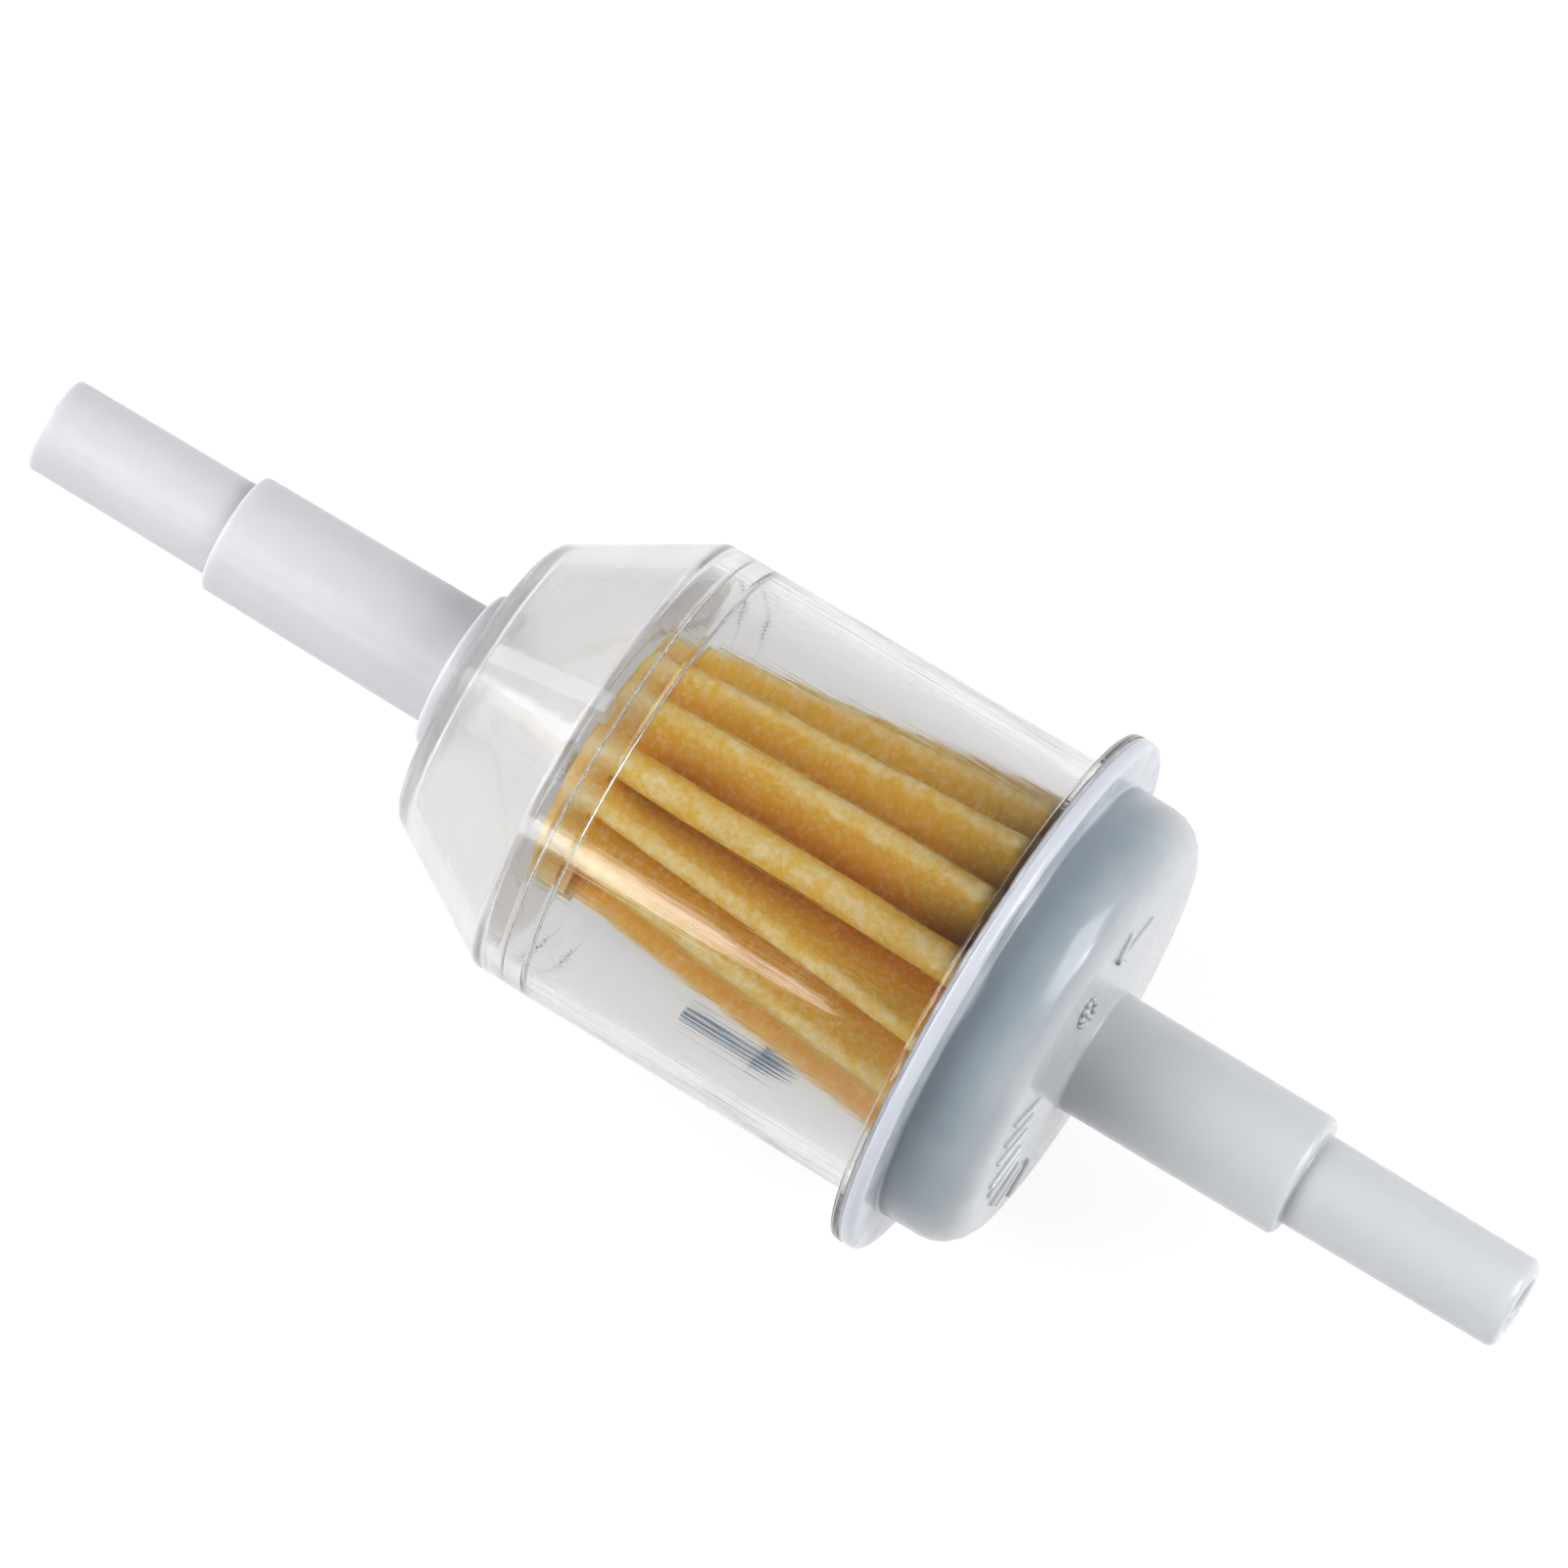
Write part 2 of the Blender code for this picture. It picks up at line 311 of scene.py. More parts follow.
class Tree:
    """A material's nodes, with short ways to add and link them."""

    def __init__(self, name):
        self.material = bpy.data.materials.new(name)
        self.material.use_nodes = True
        self.nodes = self.material.node_tree.nodes
        self.shader = self.nodes["Principled BSDF"]

    def set(self, **values):
        for name, value in values.items():
            self.shader.inputs[name.replace("_", " ")].default_value = value

    def link(self, source, target):
        self.material.node_tree.links.new(source, target)

    def add(self, kind, **inputs):
        """A node with its inputs set by name, where _ stands for a space and a socket is linked."""
        node = self.nodes.new("ShaderNode" + kind)
        for name, value in inputs.items():
            self.put(node, name.replace("_", " "), value)
        return node

    def put(self, node, key, value):
        if isinstance(value, bpy.types.NodeSocket):
            self.link(value, node.inputs[key])
        else:
            node.inputs[key].default_value = value

    def math(self, operation, *values):
        node = self.nodes.new("ShaderNodeMath")
        node.operation = operation
        for i, value in enumerate(values):
            self.put(node, i, value)
        return node.outputs[0]

    def position(self):
        return self.nodes.new("ShaderNodeTexCoord").outputs["Object"]

    def unrolled(self, along, around):
        """Coordinates on the unrolled cylinder, in features per metre along it and around it."""
        apart = self.add("SeparateXYZ", Vector=self.position()).outputs
        turn = self.math("ARCTAN2", apart["Y"], apart["Z"])
        joined = self.add(
            "CombineXYZ",
            X=self.math("MULTIPLY", apart["X"], along),
            Y=self.math("MULTIPLY", turn, around * BODY_R * MM),
        )
        return joined.outputs[0]

    def noise(self, vector, scale=1.0, detail=3.0, roughness=0.55):
        node = self.add("TexNoise", Vector=vector, Scale=scale, Detail=detail, Roughness=roughness)
        return node.outputs["Fac"]

    def range(self, value, low, high, new_low, new_high):
        node = self.add("MapRange", Value=value)
        keys = ("From Min", "From Max", "To Min", "To Max")
        for key, number in zip(keys, (low, high, new_low, new_high)):
            node.inputs[key].default_value = number
        return node.outputs["Result"]

    def mix(self, factor, a, b):
        node = self.nodes.new("ShaderNodeMix")
        node.data_type = "RGBA"
        for key, value in ((0, factor), (6, a), (7, b)):
            self.put(node, key, value)
        return node.outputs[2]

    def bump(self, height, distance, strength=1.0, normal=None):
        node = self.add("Bump", Height=height, Distance=distance, Strength=strength)
        if normal:
            self.link(normal, node.inputs["Normal"])
        return node.outputs["Normal"]


def per_mm(size):
    """Features per metre for features of that size in millimetres."""
    return 1 / (size * MM)


def clear_plastic():
    """Clear moulded nylon: fine lines along the draw and a soft unevenness."""
    tree = Tree("clear_plastic")
    tree.set(Base_Color=(0.79, 0.786, 0.78, 1), IOR=1.48, Transmission_Weight=1.0)
    lines = tree.noise(tree.unrolled(per_mm(20), per_mm(0.2)), detail=2)
    sparse = tree.range(lines, 0.52, 0.72, 0, 1)
    waves = tree.noise(tree.unrolled(per_mm(7), per_mm(5)), detail=1)
    tree.link(tree.range(lines, 0.4, 0.75, 0.015, 0.06), tree.shader.inputs["Roughness"])
    soft = tree.bump(waves, 0.05 * MM)
    tree.link(tree.bump(sparse, 0.0025 * MM, normal=soft), tree.shader.inputs["Normal"])
    return tree.material


def hazy_plastic():
    """The same nylon where it cooled slowly, in the dome: hazier, with its far side blurred."""
    tree = Tree("hazy_plastic")
    tree.set(IOR=1.36, Transmission_Weight=0.78)
    clouds = tree.noise(tree.position(), scale=per_mm(4), detail=2)
    colour = tree.mix(clouds, (0.76, 0.76, 0.77, 1), (0.81, 0.81, 0.81, 1))
    tree.link(colour, tree.shader.inputs["Base Color"])
    tree.link(tree.range(clouds, 0.3, 0.7, 0.08, 0.16), tree.shader.inputs["Roughness"])
    tree.link(tree.bump(clouds, 0.05 * MM), tree.shader.inputs["Normal"])
    return tree.material


def milky_plastic(name, tints, roughness):
    """Natural translucent nylon: light goes some way into it, and its gloss is a little uneven.

    The tints are (station, colour) pairs along the axis, and the colour fades from each to the
    next.
    """
    tree = Tree(name)
    tree.set(
        IOR=1.48,
        Specular_IOR_Level=0.4,
        Subsurface_Weight=0.6,
        Subsurface_Scale=1.5 * MM,
        Subsurface_Radius=(1.0, 1.0, 1.0),
    )
    clouds = tree.noise(tree.position(), scale=per_mm(6), detail=2)
    grain = tree.noise(tree.position(), scale=per_mm(0.8), detail=2)
    along = tree.add("SeparateXYZ", Vector=tree.position()).outputs["X"]
    wander = tree.range(clouds, 0.3, 0.7, -0.25 * MM, 0.25 * MM)
    along = tree.math("ADD", along, wander)
    # Along the cap, this ramp paints the shade of the hollow behind the wall.
    colour = tints[0][1]
    for (start, _), (end, tint) in zip(tints, tints[1:]):
        low, high = (place(station, 0, 0).x for station in (start, end))
        colour = tree.mix(tree.range(along, low, high, 0, 1), colour, tint)
    clouded = tree.mix(tree.range(clouds, 0.3, 0.7, 0, 0.12), colour, CLOUD_TINT)
    tree.link(clouded, tree.shader.inputs["Base Color"])
    gloss = tree.range(grain, 0.35, 0.7, roughness - 0.04, roughness + 0.06)
    tree.link(gloss, tree.shader.inputs["Roughness"])
    soft = tree.bump(clouds, 0.08 * MM)
    tree.link(tree.bump(grain, 0.003 * MM, normal=soft), tree.shader.inputs["Normal"])
    return tree.material


def paper_material(name, valley, faces, ridge, fleck):
    """Resin-treated filter paper: a painted highlight along the ridges, painted shade in the
    valleys, fibres and small flecks.

    It reads a point's height between valley and ridge, and its painted shade, from the mesh.
    """
    tree = Tree(name)
    tree.set(Roughness=0.9, Specular_IOR_Level=0.2)
    height = tree.add("Attribute")
    height.attribute_name = "ridge"
    fibres = tree.noise(tree.position(), scale=per_mm(0.42), detail=5, roughness=0.7)
    felt = tree.noise(tree.position(), scale=per_mm(1.3), detail=4, roughness=0.6)
    clouds = tree.noise(tree.position(), scale=per_mm(5), detail=2)
    uneven_height = tree.math("ADD", height.outputs["Fac"], tree.range(felt, 0.3, 0.7, -0.07, 0.07))
    flakes = tree.noise(tree.position(), scale=per_mm(0.7), detail=3)
    # Painted highlight along the ridge tops, broken up by flakes.
    at_ridge = tree.range(uneven_height, 0.93, 1.01, 0, 1)
    ridge_highlight = tree.math("MULTIPLY", at_ridge, tree.range(flakes, 0.38, 0.6, 0.3, 1))
    half_clouds = tree.math("MULTIPLY", clouds, 0.5)
    face = tree.mix(tree.math("MULTIPLY_ADD", felt, 0.5, half_clouds), faces[0], faces[1])
    # Painted shade, darker down into each valley.
    crease_shaded = tree.mix(tree.range(uneven_height, 0.1, 0.95, 0, 1), valley, face)
    top = tree.mix(ridge_highlight, crease_shaded, ridge)
    flecked = tree.mix(tree.range(fibres, 0.5, 0.66, 0, 0.5), top, fleck)
    pitted = tree.mix(tree.range(fibres, 0.34, 0.48, 0.32, 0), flecked, valley)
    # Painted brown shade in the valleys by the flange, read from the mesh.
    painted_shade = tree.add("Attribute")
    painted_shade.attribute_name = "painted_shade"
    shaded = tree.mix(painted_shade.outputs["Fac"], pitted, PAINTED_SHADE_TINT)
    tree.link(shaded, tree.shader.inputs["Base Color"])
    soft = tree.bump(felt, 0.12 * MM, strength=0.7)
    tree.link(tree.bump(fibres, 0.13 * MM, normal=soft), tree.shader.inputs["Normal"])
    return tree.material


def matte(name, colour, darker, roughness, feature, depth):
    """A plain moulded or cast surface with uneven colour and a fine grain."""
    tree = Tree(name)
    grain = tree.noise(tree.position(), scale=per_mm(feature), detail=4)
    tree.link(tree.mix(grain, darker, colour), tree.shader.inputs["Base Color"])
    gloss = tree.range(grain, 0.3, 0.7, roughness - 0.08, roughness + 0.08)
    tree.link(gloss, tree.shader.inputs["Roughness"])
    tree.link(tree.bump(grain, depth * MM), tree.shader.inputs["Normal"])
    return tree.material


# Pieces


def make_rib(index):
    """A gusset inside the dome, with soft edges. It stops just under the wall."""
    under_wall_r = BODY_R - WALL - 2 * LAND_STEP - 0.03
    corners = [
        (DOME_EDGE + 0.6, RIB_FOOT_R, 0),
        (RIB_FOOT_END, RIB_FOOT_R, 0.6),
        (RIB_END, RIB_HEAD_R, 0.5),
        (RIB_END, under_wall_r, 0.3),
        (SHOULDER + 0.6, under_wall_r, 0),
        (DOME_EDGE + 1.3, DOME_EDGE_R - WALL / 2 - 0.1, 0.8),
    ]
    outline = rounded(corners)
    sides = [[place(p.x, side * RIB_T / 2, p.y) for p in outline] for side in (-1, 1)]
    rib = loft(f"rib_{index}", sides)
    bevel = rib.modifiers.new("soft_edges", "BEVEL")
    bevel.width = 0.4 * MM
    bevel.segments = 4
    bevel.angle_limit = math.radians(50)
    settle(rib)
    rib.data.transform(Matrix.Rotation(RIB_TURN + index * math.tau / RIB_COUNT, 4, "X"))
    return rib


def make_bowl(clear, hazy, spigot, rib_plastic):
    """The clear moulding, with its milky spigot, its dome and ribs, and the rim that is welded.

    The ribs are closed bodies of their own inside the dome.
    """
    land_r = BODY_R - WALL - LAND_STEP
    dome_bore_r = land_r - LAND_STEP
    corners = [
        (0, SMALL_R, 0.2),
        (INLET_STEP, SMALL_R + DRAFT / 2, 0.1),
        (INLET_STEP, LARGE_R - DRAFT, 0.25),
        (COLLAR_START, LARGE_R, 0.15),
        (COLLAR_START + 0.1, COLLAR_R, 0.25),
        (DOME_START, COLLAR_R, 0.15),
        (DOME_START, DOME_FOOT_R, 0),
        (DOME_EDGE, DOME_EDGE_R, 1.1),
        (SHOULDER, BODY_R - DRAFT, 0.6),
        (FLANGE_BACK, BODY_R, 0.1),
        (FLANGE_BACK, FLANGE_R, 0.3),
        (LIP_FRONT, FLANGE_R, 0),
        (LIP_FRONT, BODY_R - WALL, 0),
        (LAND_END + 0.15, BODY_R - WALL, 0.08),
        (LAND_END, land_r - 0.08, 0.08),
        (LAND_END - 0.25, land_r, 0.08),
        (LAND_START + 0.15, land_r, 0.08),
        (LAND_START, dome_bore_r - 0.05, 0.08),
        (LAND_START - 0.25, dome_bore_r, 0.08),
        (SHOULDER + 0.4, dome_bore_r, 0.8),
        (DOME_EDGE + 1.15, DOME_EDGE_R - WALL / 2, 0.8),
        (DOME_EDGE + 0.5, INLET_BORE_WIDE_R, 0.3),
        (INLET_STEP + BORE_STEP_LENGTH, INLET_BORE_WIDE_R, 0),
        (INLET_STEP - BORE_STEP_LENGTH, INLET_BORE_R, 0),
        (0, INLET_BORE_R, 0),
    ]
    bowl = new_object("bowl", turned_mesh(rounded(corners)))
    for material in (clear, hazy, spigot, rib_plastic):
        bowl.data.materials.append(material)
    spigot_end = place(DOME_START - 0.1, 0, 0).x
    dome_end = place(SHOULDER + 0.2, 0, 0).x
    for face in bowl.data.polygons:
        if face.center.x < spigot_end:
            face.material_index = 2
        elif face.center.x < dome_end:
            face.material_index = 1
    joined = bmesh.new()
    joined.from_mesh(bowl.data)
    for index in range(RIB_COUNT):
        rib = make_rib(index)
        for face in rib.data.polygons:
            face.material_index = 3
        joined.from_mesh(rib.data)
        bpy.data.objects.remove(rib)
    joined.to_mesh(bowl.data)
    joined.free()
    weigh_normals(bowl)
    piece(bowl, clear, "clear_plastic", "inlet_bowl")


def make_cap(milky):
    """The milky moulding, with the flange, the end face and the outlet spigot."""
    plenum_end = CAP_EDGE - 1.0
    cap_r = BODY_R - 0.05
    corners = [
        (FLANGE_START, FLANGE_R, 0.2),
        (FLANGE_FRONT, FLANGE_R, 0.6),
        (FLANGE_FRONT, cap_r, 0.2),
        (CAP_EDGE, cap_r, 2.8),
        (CAP_FACE, LARGE_R, 0.3),
        (OUTLET_STEP, LARGE_R - DRAFT / 2, 0.45),
        (OUTLET_STEP, SMALL_R - DRAFT / 2, 0.15),
        (LENGTH, SMALL_R - DRAFT, 0.8),
        (LENGTH, OUTLET_BORE_R, 0.4),
        (OUTLET_STEP + BORE_STEP_LENGTH, OUTLET_BORE_R, 0),
        (OUTLET_STEP - BORE_STEP_LENGTH, OUTLET_BORE_WIDE_R, 0),
        (plenum_end, OUTLET_BORE_WIDE_R, 0.4),
        (plenum_end, PLENUM_R, 0.8),
        (DISC_SEAT, PLENUM_R, 0),
        (DISC_SEAT, CAP_BORE_R, 0.2),
        (FLANGE_START, CAP_BORE_R, 0),
    ]
    cap = new_object("cap", turned_mesh(rounded(corners)))
    weigh_normals(cap)
    piece(cap, milky, "milky_plastic", "outlet_cap")


def blend(pair, share):
    return pair[0] + share * (pair[1] - pair[0])


def ridge_table():
    """All ridges after the seam, in order: angles, half-widths, the valley after, and reach."""
    hidden = PLEATS - 1 - len(SEEN_RIDGES)
    first = [angle - SEAM_ANGLE + 360 for angle in SEEN_RIDGES[0][0]]
    table = []
    for k in range(hidden):
        share = (k + 1 + random.uniform(-0.12, 0.12)) / (hidden + 1)
        angles = tuple(SEAM_ANGLE + share * angle for angle in first)
        width = random.uniform(0.4, 0.7)
        reach = min(1, SEAM_SHARE - 0.03 + 0.04 * k)
        table.append((angles, (width, 0.85 * width), random.uniform(0.4, 0.6), reach))
    for angles, widths, valley in SEEN_RIDGES:
        table.append((tuple(angle + 360 for angle in angles), widths, valley, 1))
    return table


def fold(radius, angle, half_width):
    """The two rounded corners of a fold, one either side of the line at that angle in degrees."""
    turn = math.radians(angle)
    outward = Vector((-math.sin(turn), math.cos(turn)))
    onward = Vector((-math.cos(turn), -math.sin(turn)))
    sides = [outward * radius + onward * side * half_width for side in (-1, 1)]
    return [(p.x, p.y, 0.9 * half_width) for p in sides]


def flap(ridge_r, side):
    """The outer and inner ends of a glued flap, on one side of the seam."""
    turn = math.radians(SEAM_ANGLE)
    outward = Vector((-math.sin(turn), math.cos(turn)))
    onward = Vector((-math.cos(turn), -math.sin(turn)))
    flap_r = SEAM_SHARE * ridge_r
    ends = [outward * r + onward * side * FLAP_OFFSET for r in (flap_r, flap_r - FLAP_DEPTH)]
    return [(p.x, p.y, 0) for p in ends]


def paper_line(ridges, share):
    """The folded line across the paper at a share of its length, as points and their heights."""
    depth_left = min(1, share * (PAPER_END - PAPER_START) / END_FADE)
    ridge_r = blend(RIDGE_R, share)
    deepened = math.sin(depth_left * math.pi / 2)
    valley_r = blend((ridge_r - END_DEPTH, blend(VALLEY_R, share)), deepened)
    corners = flap(ridge_r, 1)
    before = (SEAM_ANGLE, 0.5)
    for angles, widths, valley, reach in ridges:
        angle = blend(angles, share)
        valley_angle = before[0] + before[1] * (angle - before[0])
        corners += fold(valley_r, valley_angle, VALLEY_HALF_WIDTH)
        corners += fold(reach * ridge_r, angle, blend(widths, share))
        before = (angle, valley)
    corners += reversed(flap(ridge_r, -1))
    arcs = [arc(corners[0], corners[0], corners[0])]
    for i in range(1, len(corners) - 1):
        arcs.append(arc(corners[i - 1], corners[i], corners[i + 1], 3))
    arcs.append(arc(corners[-1], corners[-1], corners[-1]))
    points = []
    for a, b in zip(arcs, arcs[1:]):
        points += a + [a[-1].lerp(b[0], k / 3) for k in (1, 2)]
    points += arcs[-1]
    return [(p, (p.length - valley_r) / (ridge_r - valley_r)) for p in points]


def clamp(value):
    return max(0, min(1, value))


def painted_shade(station, angle, height):
    """How much painted shade the paper gets: brown in its valleys towards the outlet, where the
    flange and cap shade them, with a near-black edge at the flange.

    The painted shade fades out over the last 12 degrees before the angle at which it stops.
    """
    turned_away = clamp((SHADE_SIDE - angle) / 12)
    near_end = clamp((station - SHADE_START) / (FLANGE_BACK - SHADE_START)) ** 1.6
    edge = clamp((station - FLANGE_BACK + 1.0) / 0.4)
    return turned_away * max(0.85 * near_end * clamp(1.9 - 2 * height), 0.95 * edge)


def make_paper(material, ridges):
    """The folded paper, with uneven pleats that twist a little and fade out at the sealed end."""
    rows = 40
    bm = bmesh.new()
    ridge_layer = bm.verts.layers.float.new("ridge")
    painted_shade_layer = bm.verts.layers.float.new("painted_shade")
    vertex_rows = []
    for row in range(rows + 1):
        share = (row / rows) ** 1.3
        station = PAPER_START + share * (PAPER_END - PAPER_START)
        verts = []
        for p, height in paper_line(ridges, share):
            co = place(station, p.x, p.y)
            sway = noise.noise_vector(co * per_mm(8)) * 0.1
            sway += noise.noise_vector(co * per_mm(2)) * 0.04
            sway.x = 0
            vert = bm.verts.new(co + sway * MM)
            vert[ridge_layer] = height
            # Each point's painted shade, for the paper's colour.
            vert[painted_shade_layer] = painted_shade(station, math.degrees(math.atan2(-p.x, p.y)), height)
            verts.append(vert)
        vertex_rows.append(verts)
    for low, high in zip(vertex_rows, vertex_rows[1:]):
        for i in range(len(low) - 1):
            bm.faces.new((low[i], low[i + 1], high[i + 1], high[i]))
    paper = new_object("pleated_paper", bm, 70)
    thicken = paper.modifiers.new("thickness", "SOLIDIFY")
    thicken.thickness = PAPER_T * MM
    thicken.offset = 0
    thicken.use_even_offset = True
    piece(paper, material, "paper", "filter_paper")


def make_seal(material, ridges):
    """The adhesive that closes the pleats' inlet ends. Its soft rim follows the pleats."""
    thickness = PAPER_START - SEAL_START + 0.1
    turns = 320
    rows = 19
    corner_r = 1.1
    angles = [SEAM_ANGLE] + [ridge[0][0] for ridge in ridges] + [SEAM_ANGLE + 360]
    rings = []
    heights = []
    for k in range(rows):
        rise = (k / (rows - 1)) ** 1.5
        station = SEAL_START + rise * thickness
        left = max(0, corner_r - rise * thickness)
        round_r = SEAL_R - corner_r + math.sqrt(corner_r**2 - left**2)
        ring = []
        for i in range(turns):
            angle = SEAM_ANGLE + 360 * i / turns
            after = next(j for j, ridge in enumerate(angles) if ridge > angle)
            share = (angle - angles[after - 1]) / (angles[after] - angles[after - 1])
            depth = math.sin(share * math.pi) ** 2
            dip = END_DEPTH * depth * (0.2 + 0.85 * rise)
            co = on_cylinder(station, round_r - dip, math.radians(angle))
            dip += 0.08 * noise.noise(co * per_mm(1.5))
            ring.append(on_cylinder(station, round_r - dip - 0.08, math.radians(angle)))
            heights.append(1 - depth * (0.45 + 0.55 * rise))
        rings.append(ring)
    insets = ((0.9, 0.25), (0.5, 0.15), (0.15, 0.05))
    sunk = [[p.lerp(Vector((p.x, 0, 0)), inset) for p in rings[0]] for inset, _ in insets]
    for ring, (_, depth) in zip(sunk, insets):
        for p in ring:
            p.x += depth * MM
    seal = loft("end_seal", sunk + rings)
    ridge_layer = seal.data.attributes.new("ridge", "FLOAT", "POINT")
    ridge_layer.data.foreach_set("value", [0.9] * (len(insets) * turns) + heights)
    piece(seal, material, "adhesive", "inlet_end_seal")


def make_seam_glue(material):
    """The strip of glue squeezed between the paper's two flaps, with an uneven outer edge."""
    half = SEAM_GLUE_T / 2
    turn = Matrix.Rotation(math.radians(SEAM_ANGLE), 2)
    rows = 40
    rings = []
    for row in range(rows + 1):
        share = row / rows
        station = PAPER_START + share * (PAPER_END - PAPER_START)
        top = SEAM_SHARE * blend(RIDGE_R, share) + 0.05
        top += 0.12 * noise.noise(Vector((station / 1.7, 0, 0)))
        foot = top - FLAP_DEPTH
        section = ((-half, foot), (half, foot), (half, top), (0, top + half), (-half, top))
        rings.append([place(station, *(turn @ Vector(p))) for p in section])
    glue = loft("seam_glue_strip", rings)
    piece(glue, material, "adhesive", "seam_glue")


def make_weld(material):
    """The uneven bead of plastic squeezed out of the weld between the bowl's rim and the flange."""
    turns = 480
    middle = (LIP_FRONT + FLANGE_START) / 2
    rings = []
    for i in range(turns):
        angle = math.tau * i / turns
        co = on_cylinder(middle, FLANGE_R, angle)
        swell = noise.noise(co * per_mm(0.9)) + 0.5 * noise.noise(co * per_mm(0.35))
        bead_r = FLANGE_R - 0.22 + 0.05 * swell
        half = 0.14 + 0.04 * swell
        ring = []
        for j in range(8):
            turn = math.tau * j / 8
            station = middle + 1.2 * half * math.cos(turn)
            ring.append(on_cylinder(station, bead_r + half * math.sin(turn), angle))
        rings.append(ring)
    bead = loft("weld_bead", rings + rings[:1], capped=False)
    weld = bmesh.new()
    weld.from_mesh(bead.data)
    bmesh.ops.remove_doubles(weld, verts=weld.verts, dist=0.0001 * MM)
    bmesh.ops.recalc_face_normals(weld, faces=weld.faces)
    weld.to_mesh(bead.data)
    weld.free()
    piece(bead, material, "milky_plastic")


def raised_stroke(bm, ends):
    """A soft bar on the cap's end face between two (radius, angle in degrees) points."""
    base = CAP_FACE - 0.02
    points = [(r * math.cos(math.radians(a)), -r * math.sin(math.radians(a))) for r, a in ends]
    start, end = (Vector((across, up)) for up, across in points)
    along = (end - start).normalized()
    side = Vector((-along.y, along.x))
    rows = []
    for lift, width in ((-0.45, 1.0), (0.6, 0.9), (1.0, 0.5)):
        row = []
        for k in range(12):
            turn = math.tau * k / 12
            centre = end if math.cos(turn) >= 0 else start
            outward = along * math.cos(turn) + side * math.sin(turn)
            p = centre + outward * MARK_HALF_WIDTH * width
            slope = (CAP_FACE - CAP_EDGE) * (p.length - LARGE_R) / (BODY_R - LARGE_R)
            row.append(bm.verts.new(place(base - slope + lift * MARK_HEIGHT, p.x, p.y)))
        rows.append(row)
    for low, high in zip(rows, rows[1:]):
        for k in range(12):
            bm.faces.new((low[k - 1], low[k], high[k], high[k - 1]))
    bm.faces.new(rows[0])
    bm.faces.new(rows[-1])


def make_marks(material):
    """Raised mould marks without lettering: an arrow, a date ring and plain tally bars."""
    bm = bmesh.new()
    arrow = (((9.5, -46), (9.5, -18)), ((9.5, -18), (8.2, -26)), ((9.5, -18), (10.8, -25)))
    tally = [((8.0, angle), (10.7, angle + 4)) for angle in (44, 53, 62, 76, 85, 100, 109, 124)]
    ring = []
    for k in range(RING_SIDES):
        points = []
        for step in (k, k + 1):
            turn = math.tau * step / RING_SIDES
            up = RING_UP + RING_HALF_HEIGHT * math.cos(turn)
            across = RING_ACROSS + RING_HALF_WIDTH * math.sin(turn)
            points.append((math.hypot(up, across), math.degrees(math.atan2(across, up))))
        ring.append(points)
    ring.append(((8.1, 3), (9.1, 3)))
    for ends in list(arrow) + tally + ring:
        raised_stroke(bm, ends)
    bmesh.ops.recalc_face_normals(bm, faces=bm.faces)
    marks = new_object("mould_marks", bm)
    piece(marks, material, "milky_plastic")


def make_arrow(material):
    """A plain blue flow arrow on the bowl's far side, its ink sunk just into the surface."""
    middle = math.radians(ARROW_ANGLE)
    steps = 40
    bm = bmesh.new()
    rows = []
    for k in range(steps + 1):
        station = ARROW_START + (ARROW_END - ARROW_START) * k / steps
        left = ARROW_END - station
        in_head = left < ARROW_HEAD_LENGTH
        half = ARROW_HALF_HEAD * left / ARROW_HEAD_LENGTH if in_head else ARROW_HALF_SHAFT
        half = max(half, 0.02)
        span = [half * (2 * j / 8 - 1) for j in range(9)]
        narrowing = (FLANGE_BACK - station) / (FLANGE_BACK - SHOULDER)
        print_r = BODY_R - DRAFT * narrowing - PRINT_DEPTH
        points = [on_cylinder(station, print_r, middle + s / print_r) for s in span]
        rows.append([bm.verts.new(p) for p in points])
    for low, high in zip(rows, rows[1:]):
        for i in range(8):
            bm.faces.new((low[i], low[i + 1], high[i + 1], high[i]))
    arrow = new_object("flow_arrow", bm)
    piece(arrow, material, "clear_plastic")


# Camera, lights and floor


def view_axes(azimuth, elevation):
    """The directions right, up and back of a level camera at that azimuth and elevation."""
    a, e = math.radians(azimuth), math.radians(elevation)
    back = Vector((math.sin(a) * math.cos(e), -math.cos(a) * math.cos(e), math.sin(e)))
    right = Vector((math.cos(a), math.sin(a), 0))
    return right, back.cross(right), back


def add_camera():
    """A long lens, high over the filter and turned so that the inlet is at the upper left."""
    right, up, back = view_axes(CAMERA_AZIMUTH, CAMERA_ELEVATION)
    eye = CAMERA_AIM + back * CAMERA_DISTANCE
    data = bpy.data.cameras.new("camera")
    data.sensor_width = 36
    data.lens = CAMERA_LENS
    data.clip_start = 0.05
    data.clip_end = 20
    camera = bpy.data.objects.new("camera", data)
    camera.matrix_world = Matrix((
        (right.x, up.x, back.x, eye.x),
        (right.y, up.y, back.y, eye.y),
        (right.z, up.z, back.z, eye.z),
        (0, 0, 0, 1),
    ))
    bpy.context.scene.collection.objects.link(camera)
    bpy.context.scene.camera = camera


def add_light(name, place_mm, size_mm, power, shape="RECTANGLE", roll=0):
    """An area light turned to the filter's middle, then rolled about the line to it."""
    data = bpy.data.lights.new(name, "AREA")
    data.shape = shape
    data.size = size_mm[0] * MM
    data.size_y = size_mm[1] * MM
    data.energy = power
    light = bpy.data.objects.new(name, data)
    light.location = Vector(place_mm) * MM
    aimed = (-Vector(place_mm)).to_track_quat("-Z", "Y").to_matrix()
    light.rotation_euler = (aimed @ Matrix.Rotation(math.radians(roll), 3, "Z")).to_euler()
    bpy.context.scene.collection.objects.link(light)


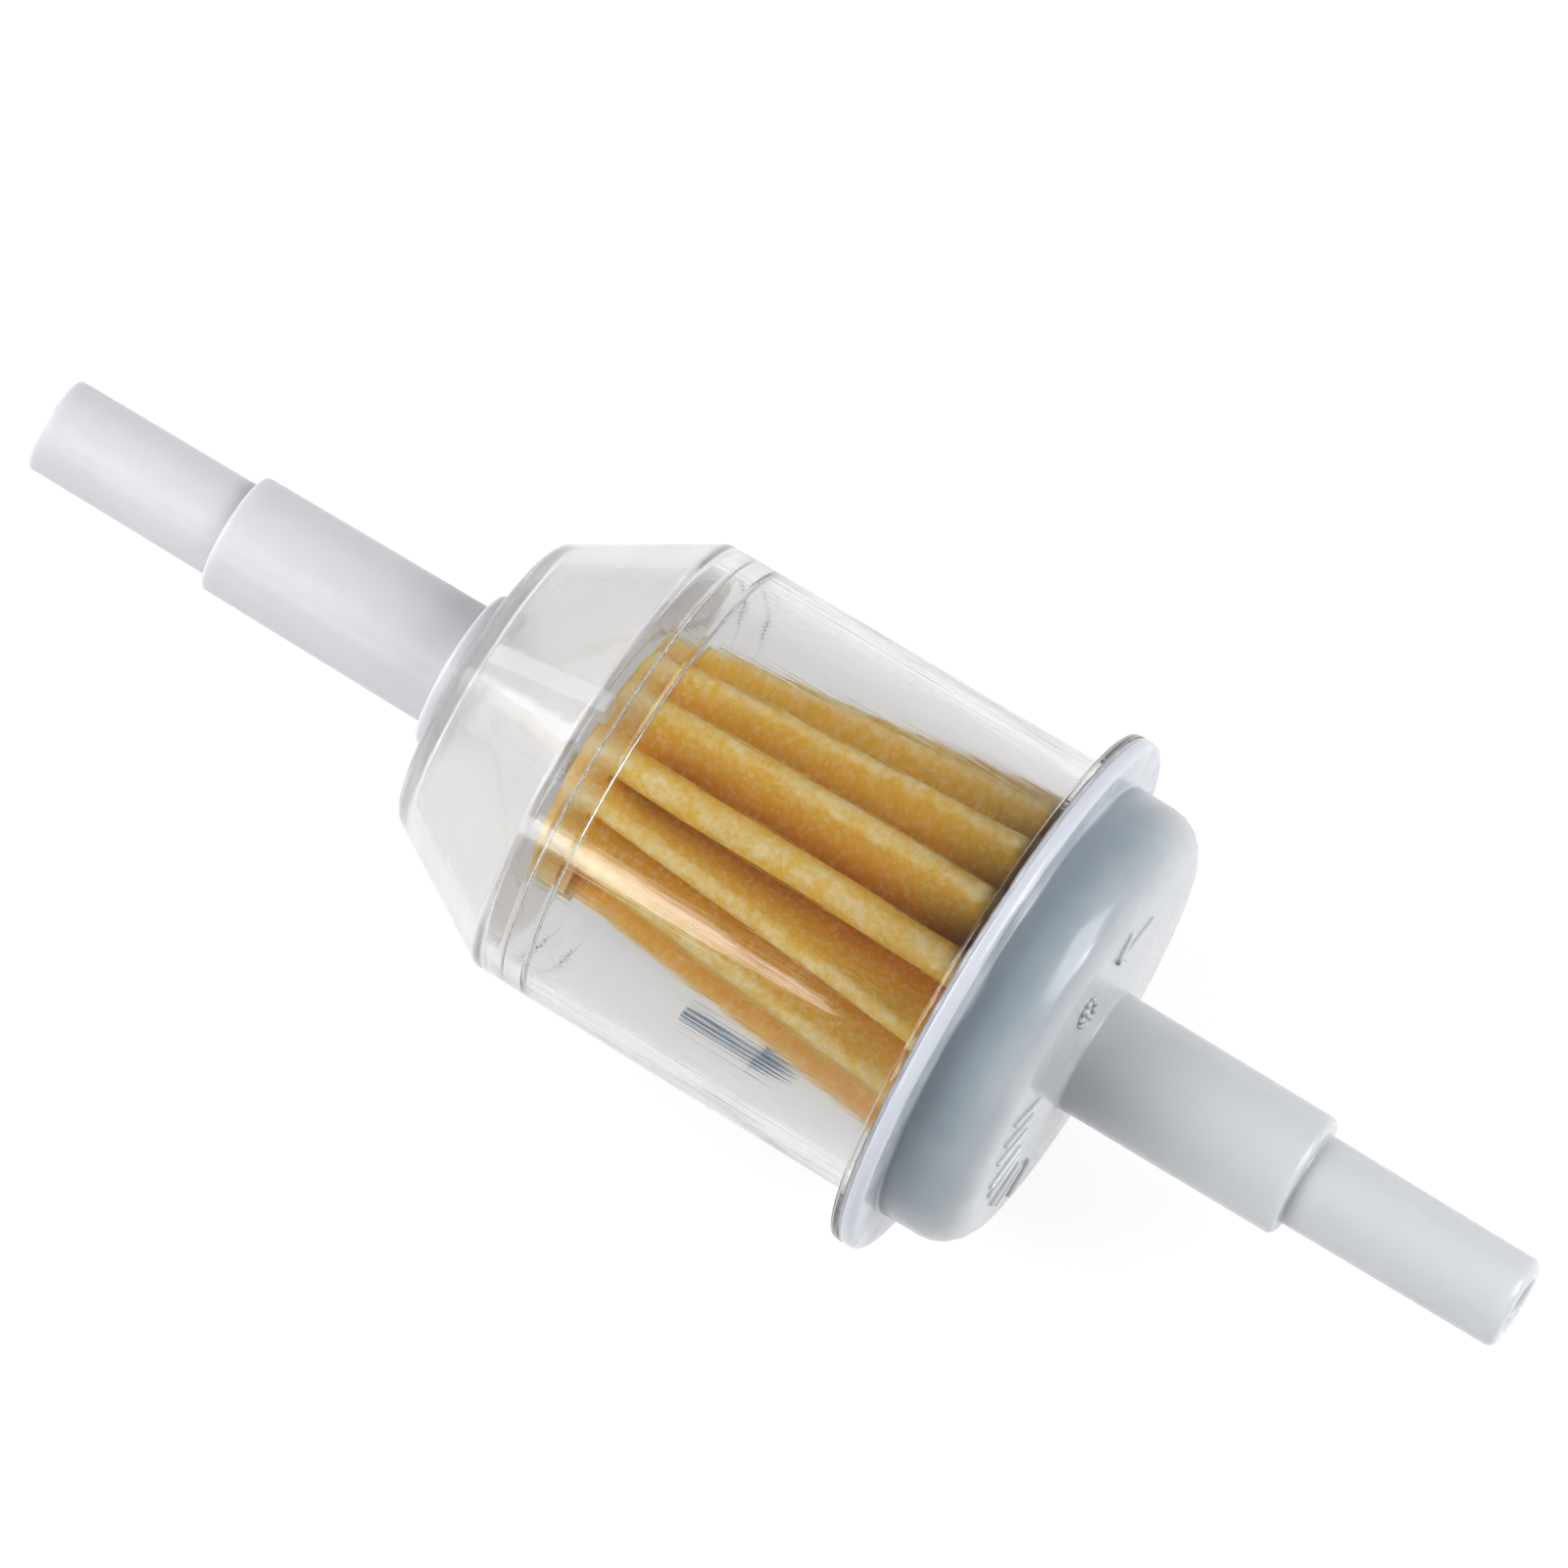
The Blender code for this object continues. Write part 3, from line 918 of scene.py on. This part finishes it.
def add_floor():
    """A pale matte floor that gives off some light, so that it stays white with a soft shadow."""
    bm = bmesh.new()
    bmesh.ops.create_grid(bm, x_segments=1, y_segments=1, size=4)
    floor = new_object("floor", bm)
    floor.location.z = cad_low.z - FLOOR_GAP * MM
    tree = Tree("floor")
    grain = tree.noise(tree.position(), scale=40, detail=2)
    colour = tree.mix(grain, (0.18, 0.18, 0.18, 1), (0.21, 0.21, 0.21, 1))
    tree.link(colour, tree.shader.inputs["Base Color"])
    tree.set(Roughness=0.9, Specular_IOR_Level=0.1)
    tree.set(Emission_Color=(1, 1, 1, 1), Emission_Strength=FLOOR_GLOW)
    floor.data.materials.append(tree.material)


def add_studio():
    """A pale world, brightest at its two ends along X, the floor and four soft area lights."""
    scene = bpy.context.scene
    scene.view_settings.view_transform = "Standard"
    world = bpy.data.worlds.new("world")
    world.use_nodes = True
    nodes, links = world.node_tree.nodes, world.node_tree.links
    background = nodes["Background"]
    background.inputs["Color"].default_value = (0.98, 0.985, 1.0, 1)
    apart = nodes.new("ShaderNodeSeparateXYZ")
    links.new(nodes.new("ShaderNodeTexCoord").outputs["Generated"], apart.inputs["Vector"])
    sideways = nodes.new("ShaderNodeMath")
    sideways.operation = "ABSOLUTE"
    links.new(apart.outputs["X"], sideways.inputs[0])
    strongest = nodes.new("ShaderNodeMath")
    strongest.operation = "MAXIMUM"
    for i, (share, ends, strengths) in enumerate((
        (apart.outputs["Z"], (0, 0.55), (WORLD_LOW, WORLD_HIGH)),
        (sideways.outputs[0], (0.3, 0.6), (WORLD_HIGH, WORLD_SIDES)),
    )):
        fade = nodes.new("ShaderNodeMapRange")
        fade.inputs["From Min"].default_value, fade.inputs["From Max"].default_value = ends
        fade.inputs["To Min"].default_value, fade.inputs["To Max"].default_value = strengths
        links.new(share, fade.inputs["Value"])
        links.new(fade.outputs["Result"], strongest.inputs[i])
    links.new(strongest.outputs[0], background.inputs["Strength"])
    scene.world = world
    add_floor()
    add_light("strip", (-75, -225, 128), (96, 52), 0.08, "ELLIPSE", roll=8)
    add_light("left", (-420, -200, 400), (520, 520), 5.9)
    add_light("right", (400, 180, 360), (400, 400), 3.4)
    add_light("glint", (270, 93, 90), (40, 40), 0.10)


add_camera()
add_studio()

clear = clear_plastic()
hazy = hazy_plastic()
spigot = milky_plastic("milky_spigot", ((0, SPIGOT_TINT),), 0.33)
rib_plastic = milky_plastic("milky_rib", ((0, RIB_TINT),), 0.2)
milky = milky_plastic("milky_plastic", CAP_TINTS_AND_SHADE, 0.2)
adhesive = matte("adhesive", (0.97, 0.76, 0.33, 1), (0.88, 0.60, 0.20, 1), 0.6, 0.8, 0.06)
# The end disc's dark blue-grey is partly its own colour and partly painted shade of the hollow cap
# around it.
disc_plastic = matte("disc_plastic", (0.20, 0.27, 0.33, 1), (0.16, 0.22, 0.28, 1), 0.4, 0.6, 0.02)
ink = matte("ink", (0.04, 0.42, 0.94, 1), (0.07, 0.48, 0.98, 1), 0.5, 0.25, 0.005)
# The valley colour paints shade in the creases, and the ridge colour paints a highlight along the
# folds.
paper = paper_material(
    "filter_paper",
    valley=(0.88, 0.42, 0.03, 1),
    faces=((0.93, 0.56, 0.07, 1), (0.98, 0.64, 0.10, 1)),
    ridge=(1.0, 0.82, 0.40, 1),
    fleck=(1.0, 0.86, 0.48, 1),
)
# Painted lighter than the paper, to make up for the less light the sealed end gets, with painted
# shade in its valleys and a painted highlight on its ridges.
sealed_paper = paper_material(
    "sealed_paper",
    valley=(0.84, 0.47, 0.08, 1),
    faces=((0.97, 0.74, 0.32, 1), (1.0, 0.79, 0.38, 1)),
    ridge=(1.0, 0.85, 0.52, 1),
    fleck=(1.0, 0.88, 0.58, 1),
)

ridges = ridge_table()
make_bowl(clear, hazy, spigot, rib_plastic)
make_cap(milky)
make_paper(paper, ridges)
make_seal(sealed_paper, ridges)
make_seam_glue(adhesive)
make_arrow(ink)
make_weld(milky)
make_marks(milky)
for node, material in (("end_disc", disc_plastic), ("end_adhesive", adhesive)):
    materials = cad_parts[node].data.materials
    materials.clear()
    materials.append(material)
